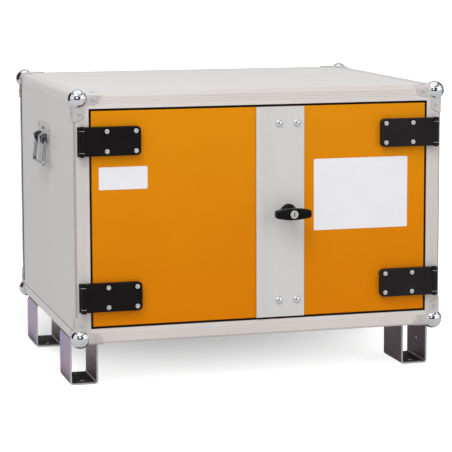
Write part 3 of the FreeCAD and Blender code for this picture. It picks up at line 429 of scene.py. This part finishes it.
def hinge_material():
    surface = Surface("black_satin_metal", 0.42, specular=0.14)
    grain = surface.noise(1100.0, 3.0)
    slow = surface.noise(18.0, 2.0)
    dark = surface.ramp(slow, [(0.3, colour(9, 6, 8)), (0.7, colour(16, 13, 14))])
    greyed = surface.ramp(slow, [(0.3, colour(26, 23, 23)), (0.7, colour(32, 29, 29))])
    # The hinges are lighter and greyer towards the right.
    across = surface.between(surface.part_of(surface.place, "X"), *hinge_greyer_span)
    surface.paint(surface.blend(across, dark, greyed))
    surface.roughen(grain, 0.34, 0.52)
    surface.bump(grain, 0.00004)
    return surface.material


def plastic_material():
    surface = Surface("black_plastic", 0.36, specular=0.1)
    grain = surface.noise(1600.0, 2.0)
    slow = surface.noise(40.0, 2.0)
    surface.paint(surface.ramp(slow, [(0.3, colour(9, 9, 10)), (0.7, colour(14, 14, 15))]))
    surface.roughen(grain, 0.26, 0.42)
    surface.bump(grain, 0.00002)
    return surface.material


def rubber_material():
    surface = Surface("seal_rubber", 0.75, specular=0.15)
    grain = surface.noise(900.0, 3.0)
    surface.paint(surface.ramp(grain, [(0.3, colour(10, 10, 11)), (0.7, colour(17, 17, 18))]))
    surface.roughen(grain, 0.66, 0.86)
    surface.bump(grain, 0.00005)
    return surface.material


def board_material():
    """Pale mineral board, slightly fibrous."""
    surface = Surface("mineral_board", 0.85)
    fibre = surface.noise(260.0, 5.0, distortion=0.8)
    slow = surface.noise(14.0, 2.0)
    broad = surface.ramp(slow, [(0.3, colour(210, 206, 196)), (0.7, colour(217, 213, 203))])
    fleck = surface.ramp(fibre, [(0.35, (0.88, 0.88, 0.87, 1.0)), (0.6, white)])
    surface.paint(surface.blend(1.0, broad, fleck, "MULTIPLY"))
    surface.roughen(fibre, 0.75, 0.92)
    surface.bump(fibre, 0.00015)
    return surface.material


def brass_material():
    surface = Surface("gear_brass", 0.3, 1.0)
    grain = surface.noise(800.0, 3.0)
    surface.paint(surface.toned(grain, colour(214, 190, 130), 0.85, 1.0, 0.35, 0.65))
    surface.roughen(grain, 0.22, 0.38)
    surface.bump(grain, 0.00002)
    return surface.material


def label_material():
    """Bare white film."""
    surface = Surface("white_film", 0.3, specular=0.3)
    slow = surface.noise(22.0, 2.0)
    surface.paint(surface.ramp(slow, [(0.3, colour(234, 234, 239)), (0.7, colour(237, 237, 241))]))
    surface.roughen(slow, 0.30, 0.33)
    return surface.material


def make_materials():
    return {
        # The frame's upper faces carry painted shade.
        "frame_aluminium": frame_material("frame_light_satin", colour(218, 212, 209), upper_painted_shade=0.86),
        "chrome": chrome_material(),
        "light_steel": rivet_material(),
        "grey_sheet": coated("grey_sheet", colour(208, 206, 204)),
        "insulating_board": board_material(),
        "orange_sheet": coated(
            "orange_sheet", colour(223, 140, 6), grain=1100.0, depth=0.00005, specular=0.05,
            foot=colour(221, 128, 0),
        ),
        "black_metal": hinge_material(),
        "black_plastic": plastic_material(),
        "seal_rubber": rubber_material(),
        "zinc_plate": zinc_material(),
        "gear_brass": brass_material(),
        "strip": coated("strip_sheet", colour(211, 210, 208)),
        # The posts are shaded copies of the frame's satin: their darker tones are painted shade, and the
        # front posts' rounds carry more painted shade.
        "post_front": frame_material("post_front_satin_painted_shade", colour(210, 204, 201), round_painted_shade=0.60),
        "post_rear": frame_material("post_rear_satin_painted_shade", colour(212, 206, 203)),
        "corner": corner_material(),
        "lift_plate": lift_plate_material(),
        "lift_bar": lift_bar_material(),
        "plug": plug_material(),
        "label": label_material(),
    }


# Carried-over nodes

def bevel_of(name):
    if name.startswith(("post_", "rail_", "foot_front", "foot_rear")):
        return bar_bevel
    if name in ("turning_handle", "handle_rosette", "hinge_leaves_left", "hinge_leaves_right"):
        return casting_bevel
    return sheet_bevel


def soften(obj, width):
    """Shares the split corners, drops the edges inside flat faces and rounds the sharp ones."""
    mesh = obj.data
    if "custom_normal" in mesh.attributes:
        mesh.attributes.remove(mesh.attributes["custom_normal"])
    mesh.polygons.foreach_set("use_smooth", [True] * len(mesh.polygons))
    weld = obj.modifiers.new("shared corners", "WELD")
    weld.merge_threshold = weld_reach
    flats = obj.modifiers.new("whole flats", "DECIMATE")
    flats.decimate_type = "DISSOLVE"
    flats.angle_limit = flat_angle
    bevel = obj.modifiers.new("soft edges", "BEVEL")
    bevel.width = width
    bevel.segments = 2
    bevel.limit_method = "ANGLE"
    bevel.angle_limit = bevel_angle
    bevel.harden_normals = True


def box_round(points):
    low = Vector(min(p[axis] for p in points) for axis in range(3))
    high = Vector(max(p[axis] for p in points) for axis in range(3))
    return low, high


def box_of(name):
    """Lowest and highest corner of a CAD node in its own axes."""
    return box_round([vertex.co for vertex in nodes[name].data.vertices])


def set_material(obj, material):
    obj.data.materials.clear()
    obj.data.materials.append(material)


def finish_of(name):
    if name == "meeting_strip":
        return "strip"
    if name == "ball_corners":
        return "corner"
    if name == "lock_plug":
        return "plug"
    if name.startswith(("post_", "lift_")):
        return name.rpartition("_")[0]
    return slot_of[name]


def dress_nodes(materials):
    for name, obj in nodes.items():
        set_material(obj, materials[finish_of(name)])
        soften(obj, bevel_of(name))


# Pieces made here

def link_mesh(name, mesh):
    obj = bpy.data.objects.new(name, mesh)
    bpy.context.scene.collection.objects.link(obj)
    return obj


def solids_of(name):
    """Lowest and highest corner of each separate solid in a CAD node."""
    mesh = nodes[name].data
    corner_of = {}
    same = [corner_of.setdefault(tuple(round(c, 6) for c in v.co), v.index) for v in mesh.vertices]
    parent = list(range(len(same)))

    def root(index):
        while parent[index] != index:
            parent[index] = parent[parent[index]]
            index = parent[index]
        return index

    for polygon in mesh.polygons:
        first, *others = [root(same[index]) for index in polygon.vertices]
        for other in others:
            parent[root(other)] = root(first)
    groups = {}
    for vertex in mesh.vertices:
        groups.setdefault(root(same[vertex.index]), []).append(vertex.co)
    boxes = [box_round(points) for points in groups.values()]
    return sorted(boxes, key=lambda pair: tuple(pair[0]))


def lathe(form, profile, seat, outward, steps=28):
    """Adds a turned form to a bmesh: profile is (radius, height) pairs, heights measured along outward."""
    turn = Vector((0, 0, 1)).rotation_difference(outward).to_matrix()
    rings = []
    for radius, height in profile:
        if radius == 0.0:
            rings.append([form.verts.new(seat + turn @ Vector((0, 0, height)))])
            continue
        angles = [2.0 * math.pi * step / steps for step in range(steps)]
        points = [Vector((radius * math.cos(a), radius * math.sin(a), height)) for a in angles]
        rings.append([form.verts.new(seat + turn @ point) for point in points])
    for lower, upper in zip(rings, rings[1:]):
        for step in range(steps):
            after = (step + 1) % steps
            if len(upper) == 1:
                form.faces.new((lower[step], lower[after], upper[0]))
            elif len(lower) == 1:
                form.faces.new((lower[0], upper[after], upper[step]))
            else:
                form.faces.new((lower[step], lower[after], upper[after], upper[step]))


def finish_form(name, form, material, body, smooth=True):
    bmesh.ops.recalc_face_normals(form, faces=form.faces)
    mesh = bpy.data.meshes.new(name)
    form.to_mesh(mesh)
    form.free()
    mesh.polygons.foreach_set("use_smooth", [smooth] * len(mesh.polygons))
    obj = link_mesh(name, mesh)
    set_material(obj, material)
    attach(obj, body)
    return obj


def rivet_profile(radius, height):
    """A low dome with a small hollow where the mandrel broke off, closed underneath."""
    rim = [(0.0, 0.0), (radius, 0.0), (radius, 0.28 * height), (0.96 * radius, 0.52 * height)]
    dome = [(0.84 * radius, 0.78 * height), (0.62 * radius, 0.95 * height), (0.42 * radius, height)]
    hollow = [(0.30 * radius, 0.97 * height), (0.25 * radius, 0.74 * height), (0.0, 0.70 * height)]
    return rim + dome + hollow


def domed_rivets(node, material):
    """Domed heads in place of a node's plain ones, each on the axis of its own solid."""
    form = bmesh.new()
    centre = (cad_low + cad_high) / 2.0
    for low, high in solids_of(node):
        size = high - low
        middle = (low + high) / 2.0
        if node.startswith("hinge"):
            axis, sign = 1, -1.0
            head = hinge_head_height
        elif node.startswith("lock"):
            axis, sign = 1, 1.0
            head = size[1]
        else:
            axis = min(range(3), key=lambda i: size[i])
            sign = math.copysign(1.0, middle[axis] - centre[axis])
            head = size[axis]
        outward = Vector((0, 0, 0))
        outward[axis] = sign
        top = high[axis] if sign > 0 else low[axis]
        seat = middle.copy()
        seat[axis] = top - sign * head
        radius = max(size[i] for i in range(3) if i != axis) / 2.0
        if node.startswith("hinge"):
            radius *= hinge_head_scale
        lathe(form, rivet_profile(radius, head), seat, outward)
    obj = finish_form(node + "_domed", form, material, body_of[node])
    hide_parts(node)


def washers(material):
    """A thin bright washer in each gap between a frame knuckle and the door's barrel."""
    form = bmesh.new()
    profile = [
        (washer_bore, 0.0), (washer_radius, 0.0), (washer_radius, washer_height),
        (washer_bore, washer_height), (washer_bore, 0.0),
    ]
    gap_from_end = washer_from_end + pin_head_height
    for low, high in solids_of("hinge_pins"):
        middle = (low + high) / 2.0
        for height in (low.z + gap_from_end, high.z - gap_from_end):
            seat = Vector((middle.x, middle.y, height - washer_height / 2.0))
            lathe(form, profile, seat, Vector((0, 0, 1)), steps=24)
    bmesh.ops.remove_doubles(form, verts=form.verts, dist=1e-7)
    obj = finish_form("hinge_washers", form, material, body_of["hinge_frame_leaves"], smooth=False)


def add_block(form, low, high):
    size = high - low
    bmesh.ops.create_cube(form, size=1.0, matrix=Matrix.LocRotScale((low + high) / 2.0, None, size))


def seam_beads(material):
    """Sealant along each side sheet: a thin bead at its foot and a fuller one at the rear post."""
    form = bmesh.new()
    for side in ("left", "right"):
        low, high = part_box("skin_" + side)
        near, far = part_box("rail_bottom_" + side)
        outer_faces = {"left": (low.x, -1.0), "right": (high.x, 1.0)}
        face, outward = outer_faces[side]
        foot = sorted((face, face + outward * bead_height))
        rear = sorted((face, face + outward * rear_bead_height))
        add_block(form, Vector((foot[0], near.y, low.z)), Vector((foot[1], far.y, low.z + bead_width)))
        add_block(form, Vector((rear[0], high.y - rear_bead_width, far.z)), Vector((rear[1], high.y, high.z)))
    obj = finish_form("seam_beads", form, material, body_of["skin_left"], smooth=False)


def label_plate(name, edges, body, material):
    """A bare plate of film with rounded corners, lying on a door's face."""
    left, right, bottom, top = edges
    door_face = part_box("door_skin_right")[0].y
    form = bmesh.new()
    outline = []
    corners = ((right, top, 0), (left, top, 90), (left, bottom, 180), (right, bottom, 270))
    for x, z, start in corners:
        inset_x = x - math.copysign(label_round, x - (left + right) / 2.0)
        inset_z = z - math.copysign(label_round, z - (bottom + top) / 2.0)
        for step in range(label_round_steps + 1):
            angle = math.radians(start + step * 90.0 / label_round_steps)
            x_here = inset_x + label_round * math.cos(angle)
            z_here = inset_z + label_round * math.sin(angle)
            outline.append(form.verts.new((x_here, door_face, z_here)))
    face = form.faces.new(outline)
    grown = bmesh.ops.extrude_face_region(form, geom=[face])
    moved = [v for v in grown["geom"] if isinstance(v, bmesh.types.BMVert)]
    bmesh.ops.translate(form, verts=moved, vec=(0.0, -label_thickness, 0.0))
    obj = finish_form(name, form, material, body, smooth=False)
    bevel = obj.modifiers.new("soft edge", "BEVEL")
    bevel.width = label_bevel
    bevel.segments = 2
    bevel.limit_method = "ANGLE"


# Floor, light and camera

def seen_rays(tree, *kinds):
    """One for the named kinds of ray, and nought for the others."""
    path = tree.nodes.new("ShaderNodeLightPath")
    seen = path.outputs[f"Is {kinds[0]} Ray"]
    for kind in kinds[1:]:
        either = tree.nodes.new("ShaderNodeMath")
        either.operation = "MAXIMUM"
        tree.links.new(seen, either.inputs[0])
        tree.links.new(path.outputs[f"Is {kind} Ray"], either.inputs[1])
        seen = either.outputs[0]
    return seen


def floor_material():
    """Pale floor, lifted to white away from the object, with the object's shadow kept and a painted shadow
    where the lift is least.
    """
    surface = Surface("floor", 0.9, specular=0.0)
    slow = surface.noise(3.0, 2.0)
    surface.paint(surface.toned(slow, white, 0.69, 0.71))
    reach = surface.measured("LENGTH", surface.measured("SUBTRACT", surface.place, floor_painted_shadow_spot))
    lift = surface.between(reach, floor_lift_start, floor_lift_end, floor_lift_near, floor_lift_far)
    strength = surface.combined("MULTIPLY", lift, seen_rays(surface.tree, "Camera", "Transmission"))
    surface.shader.inputs["Emission Color"].default_value = white
    surface.link(strength, surface.shader.inputs["Emission Strength"])
    return surface.material


def make_floor():
    form = bmesh.new()
    bmesh.ops.create_grid(form, x_segments=1, y_segments=1, size=floor_half_size)
    mesh = bpy.data.meshes.new("floor")
    form.to_mesh(mesh)
    form.free()
    floor = link_mesh("floor", mesh)
    set_material(floor, floor_material())


def make_world():
    """Even room light; camera, glossy and transmission rays see it white."""
    world = bpy.data.worlds.new("studio")
    bpy.context.scene.world = world
    world.use_nodes = True
    tree = world.node_tree
    background = tree.nodes["Background"]
    background.inputs["Color"].default_value = white
    level = tree.nodes.new("ShaderNodeMapRange")
    level.inputs["To Min"].default_value = room_light
    level.inputs["To Max"].default_value = 1.0
    tree.links.new(seen_rays(tree, "Camera", "Glossy", "Transmission"), level.inputs["Value"])
    tree.links.new(level.outputs["Result"], background.inputs["Strength"])


def aimed(place, target):
    return (Vector(target) - Vector(place)).to_track_quat("-Z", "Y").to_euler()


def area_light(name, place, target, size, power):
    data = bpy.data.lights.new(name, "AREA")
    data.shape = "RECTANGLE"
    data.size, data.size_y = size
    data.energy = power
    light = bpy.data.objects.new(name, data)
    bpy.context.scene.collection.objects.link(light)
    light.location = place
    light.rotation_euler = aimed(place, target)


def card(name, place, target, size, brightness, is_round=False):
    """A plain card that only reflections see, as a studio stands round chrome."""
    form = bmesh.new()
    if is_round:
        bmesh.ops.create_circle(form, cap_ends=True, segments=64, radius=0.5)
    else:
        bmesh.ops.create_grid(form, x_segments=1, y_segments=1, size=0.5)
    mesh = bpy.data.meshes.new(name)
    form.to_mesh(mesh)
    form.free()
    obj = link_mesh(name, mesh)
    obj.scale = (size[0], size[1], 1.0)
    obj.location = place
    obj.rotation_euler = aimed(place, target)
    surface = Surface(name, 1.0, specular=0.0)
    surface.shader.inputs["Base Color"].default_value = (0.0, 0.0, 0.0, 1.0)
    surface.shader.inputs["Emission Color"].default_value = white
    surface.shader.inputs["Emission Strength"].default_value = brightness
    set_material(obj, surface.material)
    obj.visible_camera = False
    obj.visible_diffuse = False
    obj.visible_shadow = False
    obj.visible_transmission = False


def make_lights():
    area_light("key", place=(-1.65, -2.3, 4.05), target=(0.0, 0.0, 0.35), size=(2.4, 2.4), power=97.0)
    area_light("fill", place=(3.0, -3.2, 1.8), target=(0.0, 0.0, 0.3), size=(2.0, 2.0), power=18.0)


def make_cards():
    """Each card has its place, the point that it faces, its size and its brightness."""
    middle = (0.0, 0.0, 0.45)
    card("card_ceiling", (-0.3, -0.6, 3.75), (-0.3, -0.6, 0.0), (6.8, 6.8), 0.10, is_round=True)
    card("card_softbox", (-0.3, -0.5, 3.60), (-0.3, -0.5, 0.0), (4.6, 4.6), 1.25, is_round=True)
    card("card_left", (-2.2, 0.9, 1.0), middle, (1.8, 2.6), 0.03)
    card("card_right", (1.8, 0.3, 0.9), middle, (1.0, 2.2), 0.05)
    card("card_behind_camera", (-1.0, -3.6, 1.15), middle, (4.6, 3.0), 0.04)
    card("card_window", (-1.2, -3.3, 1.45), middle, (1.3, 1.1), 1.6)
    card("card_front_floor", (1.3, -4.2, 0.35), middle, (3.4, 1.6), 0.88)
    card("card_back_left", (-2.0, 4.4, 0.6), middle, (3.0, 2.0), 0.72)
    # A dark card under the cabinet, seen only in reflections, is a painted shadow there.
    card("card_under_painted_shadow", (0.0, 0.06, 0.0006), (0.0, 0.06, 1.0), (0.84, 0.72), 0.10)


def make_camera():
    data = bpy.data.cameras.new("camera")
    data.lens = camera_lens
    data.sensor_width = 36.0
    data.shift_x, data.shift_y = camera_shift
    data.clip_end = 200.0
    camera = bpy.data.objects.new("camera", data)
    bpy.context.scene.collection.objects.link(camera)
    camera.location = camera_place
    camera.rotation_euler = [math.radians(a) for a in (90.0 - camera_down, camera_roll, -camera_right)]
    bpy.context.scene.camera = camera


materials = make_materials()
dress_nodes(materials)
for node in ("frame_rivets", "hinge_rivets_left", "hinge_rivets_right", "lock_rivets"):
    domed_rivets(node, materials["light_steel"])
washers(materials["light_steel"])
seam_beads(materials["seal_rubber"])
label_plate("label_plate_left", left_label, "left_door", materials["label"])
label_plate("label_plate_right", right_label, "right_door", materials["label"])
make_floor()
make_world()
make_lights()
make_cards()
make_camera()
bpy.context.scene.view_settings.view_transform = "Standard"
